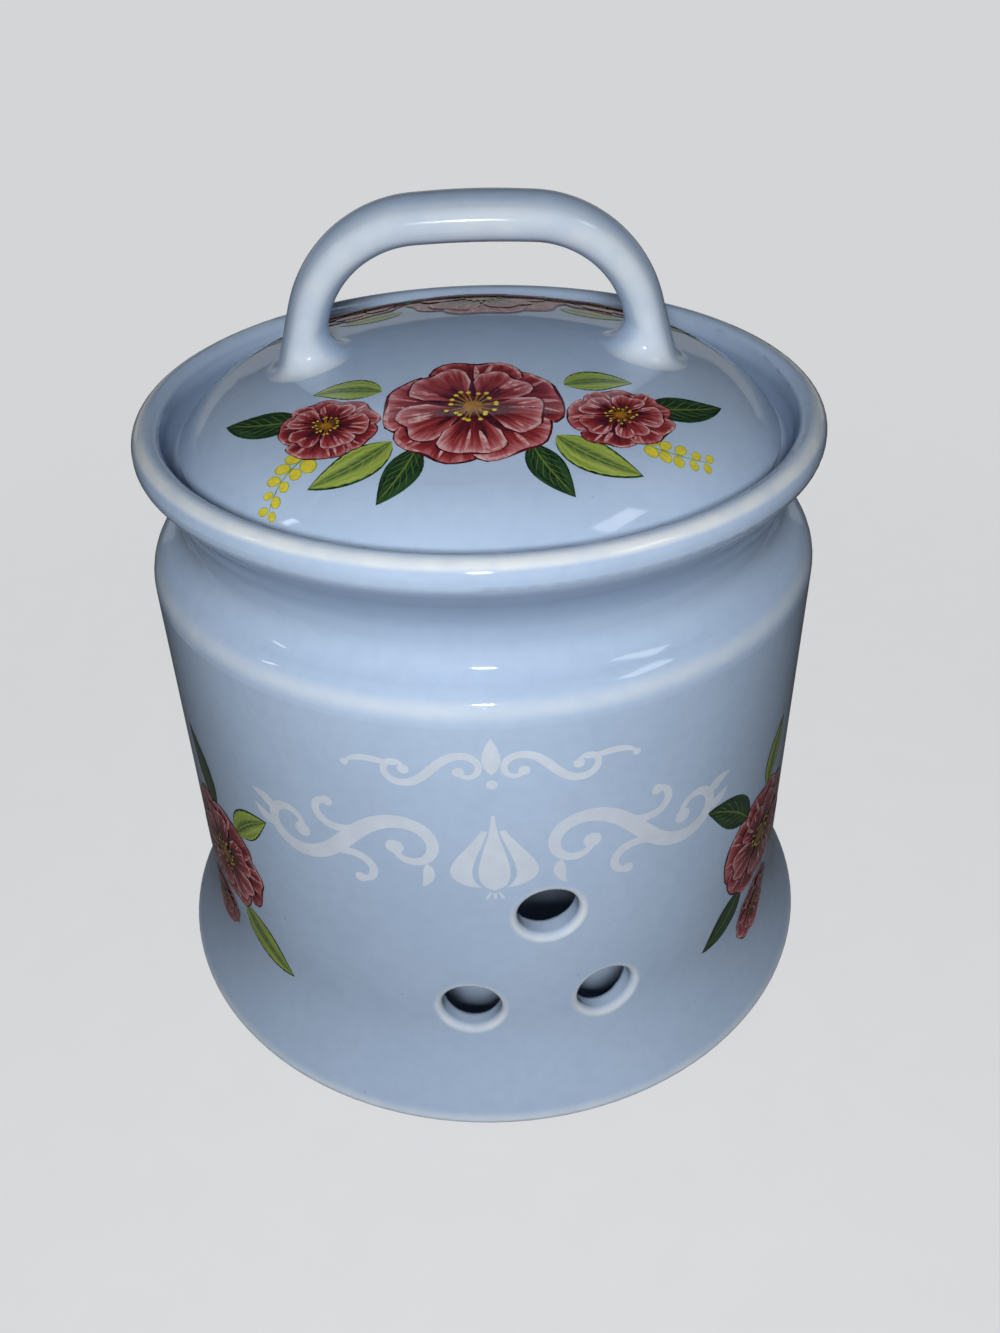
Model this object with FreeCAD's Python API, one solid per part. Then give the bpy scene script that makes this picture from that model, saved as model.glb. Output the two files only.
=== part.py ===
"""Stoneware garlic keeper: a round jar with vent holes, and a domed lid with a strap handle that lifts off it.

+Z is up, and the origin is the centre of the foot on the table. The jar's front is towards -Y and the handle
runs along X. Everything is in millimetres. The jar and the lid are sections in the XZ plane, turned about Z.
"""

import FreeCAD, Part

import math
import os

from FreeCAD import Vector

# ---- Jar, outside ------------------------------------------------------------
WALL_RADIUS = 62.5
FLARE_HEIGHT = 23.0  # below this the wall spreads out to the foot
FLARE_ROUND = 39.0
FLARE_END = 2.6  # height at which the flare's arc runs out into a straight edge
BASE_EDGE = 0.6  # height of that edge's corner, if it were sharp
BASE_EDGE_ROUND = 0.8
SHOULDER_HEIGHT = 94.8  # where wall and shoulder would meet if the edge were sharp
SHOULDER_ROUND = 6.2
SHOULDER_RISE = 4.0  # from the shoulder's edge up to the foot of the neck
NECK_UNDERCUT = 6.2  # how far the neck lies inside the lip
NECK_LENGTH = 9.0
NECK_FOOT_ROUND = 6.0
NECK_TOP_ROUND = 8.0

# ---- Jar, lip and lid seat ---------------------------------------------------
LIP_SETBACK = 0.7  # the lip is this much narrower than the wall
LIP_UNDERSIDE = 7.6  # height of the slope from the neck out to the lip
LIP_DEPTH = 4.4  # height of the lip's outer face, rounds included
LIP_WIDTH = 4.8
LIP_OUTER_ROUND = 3.0
LIP_UNDER_ROUND = 2.4
LIP_INNER_ROUND = 1.9
MOUTH_TAPER = 0.2  # the mouth narrows by this much down to the seat
SEAT_DEPTH = 6.6  # from the top of the lip down to the ledge that carries the lid
SEAT_ROUND = 3.0
NECK_WALL = 5.6
THROAT_BEVEL = 0.8

# ---- Jar, wall and foot ------------------------------------------------------
WALL = 4.8
INNER_FLARE = 3.0  # how far the inner wall spreads on its way down to the floor
INNER_FLARE_ROUND = 25.0
FLOOR = 6.0
FLOOR_ROUND = 6.0
INNER_SHOULDER_ROUND = 3.0
THROAT_FOOT_ROUND = 3.0
FOOT_SETBACK = 0.7  # the foot ring stands this far inside the flare's edge
FOOT_RING_WIDTH = 5.0
FOOT_RECESS = 2.0

# ---- Vent holes, a triangle at the front and one at the back --------------------
VENT_RADIUS = 5.5
VENT_ROUND = 1.2
VENT_LOW_HEIGHT = 25.7
VENT_RISE = 23.6  # from the two low holes to the upper one
VENT_SPACING = 25.7  # between the two low holes, along the wall
VENT_TOP_SHIFT = 1.6  # the upper hole lies this far from the middle of the low ones
VENT_TURN = 7.1  # degrees from the front towards +X
VENT_SIDES = (0.0, 180.0)

# ---- Lid ---------------------------------------------------------------------
LID_EDGE_PLAY = 1.7  # all round between the lid's edge and the wall of the seat
DOME_RISE = 17.1  # from the seat up to the top of the dome
CROWN_SHARE = 0.713  # the dome's wide middle arc, drawn on to the edge, would fall by this share of the rise
DOME_EDGE_ROUND = 22.0  # the tighter arc that runs from the middle one down to the edge
LID_WALL = 4.5
LID_EDGE_ROUND = 1.0
RING_PLAY = 1.5  # all round between the locating ring and the throat
RING_DEPTH = 10.0  # from the seat down to the ring's lower edge
RING_WALL = 4.5
RING_ROUND = 1.5
RING_ROOT_ROUND = 1.0
HOLLOW_ROUND = 3.0

# ---- Handle ------------------------------------------------------------------
HANDLE_INSET = 23.5  # from the lid's edge in to the middle of each foot, where it meets the dome
HANDLE_RISE = 20.5  # from the top of the dome up to where the grip's two slopes would meet in the middle
GRIP_FALL = 1.2  # from there down to the corners above the legs
GRIP_ROUND = 150.0  # the shallow arch that joins the two slopes
HANDLE_LEAN = 7.0  # how far each leg leans inwards on its way up
HANDLE_BEND = 21.0
GRIP_WIDTH = 13.0
GRIP_THICKNESS = 8.0
GRIP_EDGE_ROUND = 3.0
LEG_WIDTH = 11.6
LEG_THICKNESS = 7.3
LEG_EDGE_ROUND = 2.7
FOOT_FILLET = 3.8
FOOT_OVERRUN = 4.0  # the legs are drawn this far into the dome before they are trimmed to it

# ---- Worked out from the sizes above --------------------------------------------
INNER_RADIUS = WALL_RADIUS - WALL
RIM_RADIUS = WALL_RADIUS - LIP_SETBACK
NECK_RADIUS = RIM_RADIUS - NECK_UNDERCUT
MOUTH_RADIUS = RIM_RADIUS - LIP_WIDTH
SEAT_RADIUS = MOUTH_RADIUS - MOUTH_TAPER
THROAT_RADIUS = NECK_RADIUS - NECK_WALL
NECK_FOOT = SHOULDER_HEIGHT + SHOULDER_RISE
NECK_TOP = NECK_FOOT + NECK_LENGTH
LIP_LOW = NECK_TOP + LIP_UNDERSIDE
RIM_HEIGHT = LIP_LOW + LIP_DEPTH
SEAT_HEIGHT = RIM_HEIGHT - SEAT_DEPTH
FLOOR_HEIGHT = FOOT_RECESS + FLOOR
LID_RADIUS = SEAT_RADIUS - LID_EDGE_PLAY
DOME_TOP = SEAT_HEIGHT + DOME_RISE
CROWN_FALL = CROWN_SHARE * DOME_RISE
CROWN_ROUND = (LID_RADIUS**2 + CROWN_FALL**2) / (2 * CROWN_FALL)
RING_RADIUS = THROAT_RADIUS - RING_PLAY
RING_INNER = RING_RADIUS - RING_WALL
RING_LOW = SEAT_HEIGHT - RING_DEPTH
HANDLE_FOOT = LID_RADIUS - HANDLE_INSET

Z_AXIS = Vector(0, 0, 1)
ACROSS = Vector(0, 1, 0)
ORIGIN = Vector(0, 0, 0)
TOUCH = 0.01  # points closer than this count as one


def at(r, z):
    """A point of a section, r from the axis and z up."""
    return Vector(r, 0, z)


def corner_reach(before, here, after, radius):
    """How far a round of that radius reaches along the two lines that meet in a corner."""
    half = (before - here).getAngle(after - here) / 2
    return radius / math.tan(half)


def bend(middle, start, end):
    """The arc about a middle from one point to another, the short way round."""
    tip = middle + (start + end - middle * 2).normalize() * (start - middle).Length
    return Part.Arc(start, tip, end).toShape()


def rounded_path(corners, closed):
    """Lines and tangent arcs through corners, each (r, z, radius), where a radius of 0 is a sharp corner.

    Two neighbouring rounds that are too large for the line between them are both made smaller.
    """
    points = [at(r, z) for r, z, _ in corners]
    count = len(points)
    reaches = []
    for i, (_, _, radius) in enumerate(corners):
        reach = 0.0
        if radius > 0:
            reach = corner_reach(points[i - 1], points[i], points[(i + 1) % count], radius)
        reaches.append(reach)
    lengths = [(points[(i + 1) % count] - points[i]).Length for i in range(count)]
    shares = [min(1.0, lengths[i] / max(reaches[i] + reaches[(i + 1) % count], TOUCH)) for i in range(count)]
    edges = []
    end = None
    for i, here in enumerate(points):
        back = (points[i - 1] - here).normalize()
        ahead = (points[(i + 1) % count] - here).normalize()
        reach = reaches[i] * min(shares[i - 1], shares[i])
        start = here + back * reach
        if end is not None and (start - end).Length > TOUCH:
            edges.append(Part.LineSegment(end, start).toShape())
        end = here + ahead * reach
        if reach > 0:
            half = back.getAngle(ahead) / 2
            middle = here + (back + ahead).normalize() * (reach / math.cos(half))
            edges.append(bend(middle, start, end))
        if i == 0:
            first = start
    if closed and (first - end).Length > TOUCH:
        edges.append(Part.LineSegment(end, first).toShape())
    return edges


def turned(edges):
    """The solid that a closed section makes when it is turned about the Z axis."""
    wire = Part.Wire(Part.__sortEdges__(edges))
    return Part.Face(wire).revolve(ORIGIN, Z_AXIS, 360)


# ---- Jar ---------------------------------------------------------------------


def jar_outside():
    """The corners from the middle of the underside, over the foot and up to the top of the lip."""
    flare_turn = math.asin((FLARE_HEIGHT - FLARE_END) / FLARE_ROUND)
    flare_corner = FLARE_HEIGHT - FLARE_ROUND * math.tan(flare_turn / 2)
    base_radius = WALL_RADIUS + (flare_corner - BASE_EDGE) * math.tan(flare_turn)
    ring_outer = base_radius - FOOT_SETBACK
    ring_inner = ring_outer - FOOT_RING_WIDTH
    return [
        (0, FOOT_RECESS, 0),
        (ring_inner - FOOT_RECESS, FOOT_RECESS, 0),
        (ring_inner, 0, 0),
        (ring_outer, 0, 0),
        (base_radius, BASE_EDGE, BASE_EDGE_ROUND),
        (WALL_RADIUS, flare_corner, FLARE_ROUND),
        (WALL_RADIUS, SHOULDER_HEIGHT, SHOULDER_ROUND),
        (NECK_RADIUS, NECK_FOOT, NECK_FOOT_ROUND),
        (NECK_RADIUS, NECK_TOP, NECK_TOP_ROUND),
        (RIM_RADIUS, LIP_LOW, LIP_UNDER_ROUND),
        (RIM_RADIUS, RIM_HEIGHT, LIP_OUTER_ROUND),
    ]


def jar_inside():
    """The corners from the mouth over the lid's seat and down the inner wall to the middle of the floor."""
    slope = SHOULDER_RISE / (WALL_RADIUS - NECK_RADIUS)
    inner_shoulder = SHOULDER_HEIGHT - WALL
    throat_foot = inner_shoulder + slope * (INNER_RADIUS - THROAT_RADIUS)
    return [
        (MOUTH_RADIUS, RIM_HEIGHT, LIP_INNER_ROUND),
        (SEAT_RADIUS, SEAT_HEIGHT, SEAT_ROUND),
        (THROAT_RADIUS + THROAT_BEVEL, SEAT_HEIGHT, 0),
        (THROAT_RADIUS, SEAT_HEIGHT - THROAT_BEVEL, 0),
        (THROAT_RADIUS, throat_foot, THROAT_FOOT_ROUND),
        (INNER_RADIUS, inner_shoulder, INNER_SHOULDER_ROUND),
        (INNER_RADIUS, FLARE_HEIGHT, INNER_FLARE_ROUND),
        (INNER_RADIUS + INNER_FLARE, FLOOR_HEIGHT, FLOOR_ROUND),
        (0, FLOOR_HEIGHT, 0),
    ]


def vent_axes():
    """A point on the Z axis and the outward direction of each vent hole."""
    half = VENT_SPACING / 2
    triangle = [
        (-half, VENT_LOW_HEIGHT),
        (half, VENT_LOW_HEIGHT),
        (VENT_TOP_SHIFT, VENT_LOW_HEIGHT + VENT_RISE),
    ]
    axes = []
    for side in VENT_SIDES:
        for along, height in triangle:
            turn = math.radians(side + VENT_TURN) + along / WALL_RADIUS
            axes.append((at(0, height), Vector(math.sin(turn), -math.cos(turn), 0)))
    return axes


def bore_rims(shape, middle, outward):
    """The edges that run round a vent hole where its bore meets the wall's two faces."""
    rims = []
    for edge in shape.Edges:
        span = edge.LastParameter - edge.FirstParameter
        points = [edge.valueAt(edge.FirstParameter + span * share) - middle for share in (0, 0.3, 0.6, 1)]
        depths = [point.dot(outward) for point in points]
        offsets = [(point - outward * depth).Length for point, depth in zip(points, depths)]
        on_bore = all(abs(offset - VENT_RADIUS) < TOUCH for offset in offsets)
        along_wall = max(depths) - min(depths) < WALL / 2
        if on_bore and along_wall and min(depths) > 0:
            rims.append(edge)
    return rims


def make_jar():
    """The pot, turned from its section, with the vent holes bored and their rims rounded."""
    jar = turned(rounded_path(jar_outside() + jar_inside(), closed=True))
    for middle, outward in vent_axes():
        start = middle + outward * (INNER_RADIUS - WALL)
        jar = jar.cut(Part.makeCylinder(VENT_RADIUS, 3 * WALL, start, outward))
    rims = []
    for middle, outward in vent_axes():
        rims += bore_rims(jar, middle, outward)
    return jar.makeFillet(VENT_ROUND, rims)


# ---- Lid ---------------------------------------------------------------------


def dome_edge_centre():
    """The middle of the dome's edge arc, which meets the seat at the lid's edge and runs on from the crown."""
    crown_centre = DOME_TOP - CROWN_ROUND
    between = CROWN_ROUND - DOME_EDGE_ROUND
    reach = math.hypot(LID_RADIUS, SEAT_HEIGHT - crown_centre)
    spread = math.acos((between**2 + reach**2 - DOME_EDGE_ROUND**2) / (2 * between * reach))
    turn = math.atan2(LID_RADIUS, SEAT_HEIGHT - crown_centre) - spread
    return between * math.sin(turn), crown_centre + between * math.cos(turn), turn


def dome_height(r, inward=0.0):
    """Height of the dome at radius r, or of the hollow that a wall of the given depth leaves inside it."""
    edge_r, edge_z, turn = dome_edge_centre()
    if r < (CROWN_ROUND - inward) * math.sin(turn):
        return DOME_TOP - CROWN_ROUND + math.sqrt((CROWN_ROUND - inward) ** 2 - r**2)
    return edge_z + math.sqrt((DOME_EDGE_ROUND - inward) ** 2 - (r - edge_r) ** 2)


def dome_arcs(end_r, inward=0.0):
    """The dome's two arcs, from the axis out to a radius, as edges of a section."""
    joint = (CROWN_ROUND - inward) * math.sin(dome_edge_centre()[2])
    arcs = []
    for low, high in ((0, joint), (joint, end_r)):
        points = [at(r, dome_height(r, inward)) for r in (low, (low + high) / 2, high)]
        arcs.append(Part.Arc(*points).toShape())
    return arcs


def round_in_dome(radius, inward, r=None, z=None):
    """The middle of a round within the dome's edge arc, at a given r or height, and where it touches the arc.

    The arc lies inward of the dome's face by the given depth.
    """
    edge_r, edge_z, _ = dome_edge_centre()
    reach = DOME_EDGE_ROUND - inward - radius
    if r is None:
        r = edge_r + math.sqrt(reach**2 - (z - edge_z) ** 2)
    else:
        z = edge_z + math.sqrt(reach**2 - (r - edge_r) ** 2)
    middle = at(r, z)
    return middle, middle + (middle - at(edge_r, edge_z)).normalize() * radius


def make_lid():
    """The domed cover with its locating ring, turned from its section."""
    rim, rim_top = round_in_dome(LID_EDGE_ROUND, 0, z=SEAT_HEIGHT + LID_EDGE_ROUND)
    cove, cove_top = round_in_dome(HOLLOW_ROUND, LID_WALL, r=RING_INNER - HOLLOW_ROUND)
    underside = [
        (rim.x, SEAT_HEIGHT, 0),
        (RING_RADIUS, SEAT_HEIGHT, RING_ROOT_ROUND),
        (RING_RADIUS, RING_LOW, RING_ROUND),
        (RING_INNER, RING_LOW, RING_ROUND),
        (RING_INNER, cove.z, 0),
    ]
    edges = rounded_path(underside, closed=False)
    edges.append(bend(rim, at(rim.x, SEAT_HEIGHT), rim_top))
    edges.append(bend(cove, at(RING_INNER, cove.z), cove_top))
    edges.append(Part.LineSegment(at(0, DOME_TOP - LID_WALL), at(0, DOME_TOP)).toShape())
    return turned(edges + dome_arcs(rim_top.x) + dome_arcs(cove_top.x, LID_WALL))


# ---- Handle ------------------------------------------------------------------


def handle_spine():
    """The strap's middle line: two legs that lean inwards and a gently arched grip, joined by round bends."""
    foot_z = dome_height(HANDLE_FOOT)
    top_z = DOME_TOP + HANDLE_RISE
    elbow_z = top_z - GRIP_FALL
    slant = HANDLE_LEAN / (elbow_z - foot_z)
    low_r = HANDLE_FOOT + FOOT_OVERRUN * slant
    corners = [
        (-low_r, foot_z - FOOT_OVERRUN, 0),
        (-HANDLE_FOOT + HANDLE_LEAN, elbow_z, HANDLE_BEND),
        (0, top_z, GRIP_ROUND),
        (HANDLE_FOOT - HANDLE_LEAN, elbow_z, HANDLE_BEND),
        (low_r, foot_z - FOOT_OVERRUN, 0),
    ]
    return Part.Wire(rounded_path(corners, closed=False))


def oval(place, along, width, thickness, edge_round):
    """A four-arc oval across the strap: crowned above and below, with tighter rounds at its edges."""
    offset = width / 2 - edge_round
    crown = (offset**2 + thickness**2 / 4 - edge_round**2) / (thickness - 2 * edge_round)
    drop = crown - thickness / 2
    lean = math.atan2(offset, drop)
    up = ACROSS.cross(along).normalize()
    sideways = ACROSS * (crown * math.sin(lean))
    upwards = up * (crown * math.cos(lean) - drop)
    top = up * (thickness / 2)
    edge = ACROSS * (width / 2)
    right = [sideways + upwards, edge, sideways - upwards]
    left = [-point for point in right]
    corners = [left[0], left[1], left[2], top, right[0], right[1], right[2], -top, left[0]]
    points = [place + corner for corner in corners]
    return Part.Wire([Part.Arc(*points[i : i + 3]).toShape() for i in (0, 2, 4, 6)])


def make_strap():
    """The strap, swept along its middle line, widest at the grip and narrower at the legs."""
    spine = handle_spine()
    edges = spine.OrderedEdges
    leg = (LEG_WIDTH, LEG_THICKNESS, LEG_EDGE_ROUND)
    grip = (GRIP_WIDTH, GRIP_THICKNESS, GRIP_EDGE_ROUND)
    first, last = edges[0], edges[-1]
    arch = edges[len(edges) // 2]
    stations = [
        (first, first.FirstParameter, leg),
        (first, first.LastParameter, leg),
        (arch, arch.FirstParameter, grip),
        (arch, arch.LastParameter, grip),
        (last, last.FirstParameter, leg),
        (last, last.LastParameter, leg),
    ]
    sweep = Part.BRepOffsetAPI.MakePipeShell(spine)
    sweep.setBiNormalMode(ACROSS)
    for edge, parameter, sizes in stations:
        sweep.add(oval(edge.valueAt(parameter), edge.tangentAt(parameter), *sizes), False, False)
    sweep.build()
    sweep.makeSolid()
    return sweep.shape()


def on_dome(edge):
    """Whether an edge lies on the dome, away from the dome's own rim and seam."""
    span = edge.LastParameter - edge.FirstParameter
    points = [edge.valueAt(edge.FirstParameter + span * share) for share in (0, 0.25, 0.5, 0.75, 1)]
    for point in points:
        r = math.hypot(point.x, point.y)
        if abs(r - HANDLE_FOOT) > LEG_WIDTH or abs(point.y) > LEG_WIDTH:
            return False
        if abs(point.z - dome_height(r)) > TOUCH:
            return False
    return True


def make_handle():
    """The strap with its feet spread out onto the dome, trimmed so that it sits on the dome's face."""
    upright = Part.LineSegment(at(0, SEAT_HEIGHT), at(0, DOME_TOP)).toShape()
    level = Part.LineSegment(at(0, SEAT_HEIGHT), at(LID_RADIUS, SEAT_HEIGHT)).toShape()
    dome = turned(dome_arcs(LID_RADIUS) + [upright, level])
    dome.rotate(ORIGIN, Z_AXIS, 90)  # turns the dome's seam away from the feet
    joined = dome.fuse(make_strap()).removeSplitter()
    flared = joined.makeFillet(FOOT_FILLET, [edge for edge in joined.Edges if on_dome(edge)])
    return flared.cut(dome.copy())


def main():
    os.makedirs("parts", exist_ok=True)
    pieces = {"jar": make_jar(), "lid": make_lid(), "lid_handle": make_handle()}
    for name, shape in pieces.items():
        solid = shape.Solids[0]
        box = solid.optimalBoundingBox()
        print(name, len(shape.Solids), solid.isValid(), round(solid.Volume), box)
        solid.exportStep(f"parts/{name}.step")


main()
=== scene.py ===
"""Looks of the stoneware garlic keeper: glaze, rose transfers, pale scroll ornament, floor and light.

Sizes are in millimetres, as on the object, and MM turns them into Blender's metres. The prints are drawn
flat, u to the right and v up, and each is then laid on the lid's dome or on the jar's wall.
"""

import math
import random

import bpy
from mathutils import Matrix, Vector


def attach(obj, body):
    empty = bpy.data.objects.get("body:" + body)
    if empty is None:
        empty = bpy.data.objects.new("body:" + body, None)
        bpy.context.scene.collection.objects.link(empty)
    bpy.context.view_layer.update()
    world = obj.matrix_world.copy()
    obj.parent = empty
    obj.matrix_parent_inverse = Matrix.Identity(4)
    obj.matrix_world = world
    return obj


MM = 0.001

# ---- Camera, fitted to the photograph, whose frame is 1000 x 1333 pixels --------------------
FRAME_HEIGHT_PX = 1333
FOCAL_PX = 1200
SENSOR_MM = 36.0
CAMERA_PLACE = Vector((0.0, -205.7, 205.3)) * MM
CAMERA_PAN = 0.0125  # radians to the right of +Y
CAMERA_PITCH = 0.6201  # radians below the horizon
CAMERA_ROLL = -0.0257
NEAREST_SEEN = 0.01  # metres

# ---- Colours, linear ------------------------------------------------------------------------
GLAZE_BLUE = (0.400, 0.515, 0.690)
GLAZE_PALE = (0.440, 0.560, 0.740)
GLAZE_DEEP = (0.225, 0.310, 0.460)
GLAZE_CREAM = (0.810, 0.835, 0.820)
IRON_SPECK = (0.200, 0.200, 0.210)
BARE_CLAY = (0.600, 0.530, 0.430)
FLOOR_PAPER = (0.130, 0.132, 0.135)  # what the lamps light, and what it throws back on the object
FLOOR_GLOW = (0.590, 0.598, 0.609)  # added to the lit paper near the object, for the camera only
FLOOR_FAR = (0.650, 0.658, 0.670)  # the floor far from the object, and the backdrop
DAYLIGHT = (0.985, 0.985, 0.985)
SKYLIGHT = (0.940, 0.970, 1.000)
ROOM = (0.84, 0.90, 1.0)

MAROON = (0.030, 0.006, 0.012)
WINE = (0.110, 0.010, 0.018)
RED = (0.250, 0.028, 0.030)
ROSE = (0.430, 0.125, 0.140)
BLUSH = (0.640, 0.440, 0.430)
FOREST = (0.006, 0.020, 0.011)
FERN = (0.030, 0.085, 0.028)
LIME = (0.190, 0.280, 0.035)
LIME_PALE = (0.360, 0.440, 0.100)
YELLOW = (0.720, 0.610, 0.055)
AMBER = (0.380, 0.180, 0.012)
ORNAMENT = (0.625, 0.695, 0.795)

# ---- Form that the glaze and the prints follow, in millimetres --------------------------------
WALL_RADIUS = 62.5
FOOT_RADIUS = 69.2
FOOT_RING_INNER = 63.5
FLARE_HEIGHT = 23.0
FLARE_ROUND = 39.0
SHOULDER_LINE = 94.1
NECK_FOOT = 98.8
NECK_MIDDLE = 55.0  # a radius within the neck's clay, which parts its outside from its inside
LIP_LOW = 115.6
LIP_TOP = 119.8
LIP_CREST = 58.9  # the radius of the lip's highest line
RING_LOW = 103.2  # the lower end of the lid's locating ring
LID_EDGE = 55.1  # a radius, as the wall's and the foot's
SEAT_HEIGHT = 113.2
DOME_TOP = 130.3
CROWN_ROUND = 130.6
DOME_EDGE_ROUND = 22.0
VENT_PLACES = ((-12.85, 25.7), (12.85, 25.7), (1.6, 49.3))  # along the wall from their middle line, and up
VENT_TURN = math.radians(7.1)
VENT_RIM = 6.2  # from a vent's middle to its rounded rim

# ---- Glaze: the share of cream where it is thinnest, and of its deep blue where it has pooled and where painted shade darkens the cove ----
CREST_CREAM = 0.74
SHOULDER_CREAM = 0.36
FOOT_CREAM = 0.45
VENT_CREAM = 0.62
LID_EDGE_CREAM = 0.30
HANDLE_CREAM = 0.50
# deep blue in the cove under the lip: partly pooled glaze, partly painted shade where the lip overhangs
COVE_POOL_AND_SHADE = 0.90

# ---- Prints, in millimetres and radians -------------------------------------------------------
PRINT_LIFT = 0.05  # above the glaze, for the lowest level
LEVEL_LIFT = 0.009  # between two levels of paint
LID_SPRAY_PLACE = (-1.0, -26.0)
JAR_POSY_ALONG = 61.0  # along the wall from the front, to each side
JAR_POSY_HEIGHT = 41.5
JAR_POSY_TURN = 0.25
ORNAMENT_HEIGHT = 64.6  # of the band with the bulb
FLOURISH_HEIGHT = 82.8  # of the small ornament above it
SEED = 11

PETALS = 5  # in each row of a rose
PETAL_LEVELS = 4  # levels of paint in one petal: its rim, its body, its wine strokes and its pale strokes
ROW_LEVELS = 3 * PETAL_LEVELS  # petals lie low or over their neighbours, and the last one over both sorts
WINE_STROKES = 4  # on each petal
PALE_STROKES = 3
STAMENS = 19
FLOWER_BASE = 6  # the level on which the flowers start, over the leaves and berries
LINE_STEPS = 7  # in a stroke on a petal
SCROLL_STEPS = 64
TENDRIL_STEPS = 32

DARK, LIGHT = 0.0, 1.0  # the tones of a leaf
SPRAY_LEAVES = (  # on the right; those on the left are their mirror images
    dict(start=(28, 3), turn=0.10, length=15, width=6.5, curve=0.25, tone=DARK),
    dict(start=(13, -7), turn=-0.80, length=15, width=6.8, curve=0.30, tone=LIGHT, level=2),
    dict(start=(9, -9), turn=-1.25, length=12.5, width=5.4, curve=0.20, tone=DARK),
    dict(start=(15, 7), turn=0.55, length=12, width=5.6, curve=-0.30, tone=LIGHT),
)
POSY_LEAVES = (
    dict(start=(-4, 10), turn=2.0, length=17, width=6.5, curve=0.25, tone=DARK),
    dict(start=(4, 11), turn=1.2, length=14, width=6.0, curve=-0.25, tone=LIGHT, level=2),
    dict(start=(7, -9), turn=-0.75, length=17, width=7.5, curve=0.30, tone=LIGHT, level=2),
    dict(start=(-8, -8), turn=-2.4, length=15, width=6.5, curve=-0.30, tone=DARK),
)
ORNAMENT_LEAVES = (
    dict(start=(11.4, -2.2), turn=-1.95, length=5.6, width=2.1, curve=0.55),
    dict(start=(39.8, 0.4), turn=0.95, length=6.6, width=2.4, curve=-0.50),
    dict(start=(40.4, -2.6), turn=0.05, length=5.8, width=2.2, curve=0.45),
)

# ---- Stage, in metres and watts -----------------------------------------------------------------
FLOOR_HALF = 6.0
FLOOR_NEAR, FLOOR_EDGE = 0.10, 0.34  # where the lit paper starts to fade to the even floor, and where it has
ROOM_STRENGTH = 0.035
OBJECT_MIDDLE = (0, 0, 0.09)
LAMPS = (  # place, the point aimed at, and size across and up; some only light, and some are only mirrored
    dict(name="key", place=(-0.012, -0.325, 0.262), aim=OBJECT_MIDDLE, size=(0.06, 0.06),
         power=1.13, colour=DAYLIGHT, mirrored=False),
    dict(name="back_fill", place=(0.0, 0.80, 0.16), aim=OBJECT_MIDDLE, size=(1.60, 0.24),
         power=3.6, colour=SKYLIGHT, mirrored=False),
    dict(name="flash", place=(-0.006, -0.235, 0.235), aim=OBJECT_MIDDLE, size=(0.026, 0.010),
         power=0.11, colour=DAYLIGHT, lights=False),
    dict(name="window_right", place=(0.551, -0.239, 0.820), aim=(0.02, -0.05, 0.118), size=(0.26, 0.13),
         power=0.42, colour=SKYLIGHT, lights=False),
    dict(name="window_left", place=(-0.585, -0.080, 0.542), aim=(-0.03, -0.04, 0.117), size=(0.035, 0.08),
         power=0.055, colour=SKYLIGHT, lights=False),
    dict(name="far_wall", place=(0.0, 1.40, 0.18), aim=OBJECT_MIDDLE, size=(2.4, 0.36),
         power=0.85, colour=SKYLIGHT, lights=False),
)

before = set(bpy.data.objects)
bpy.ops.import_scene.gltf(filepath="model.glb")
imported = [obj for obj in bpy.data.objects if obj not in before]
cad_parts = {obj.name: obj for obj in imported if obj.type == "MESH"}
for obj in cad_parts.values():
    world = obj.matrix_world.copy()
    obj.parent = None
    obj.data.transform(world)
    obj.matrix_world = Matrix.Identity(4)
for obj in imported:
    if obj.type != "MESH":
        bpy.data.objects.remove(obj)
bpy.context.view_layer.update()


def times(colour, factor):
    """A colour made darker or paler."""
    return tuple(channel * factor for channel in colour)


def offset(place, turn, step):
    """The place that a step in a turned drawing leads to."""
    c, s = math.cos(turn), math.sin(turn)
    return place[0] + step[0] * c - step[1] * s, place[1] + step[0] * s + step[1] * c


# ---- Node trees -----------------------------------------------------------------------------


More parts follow.
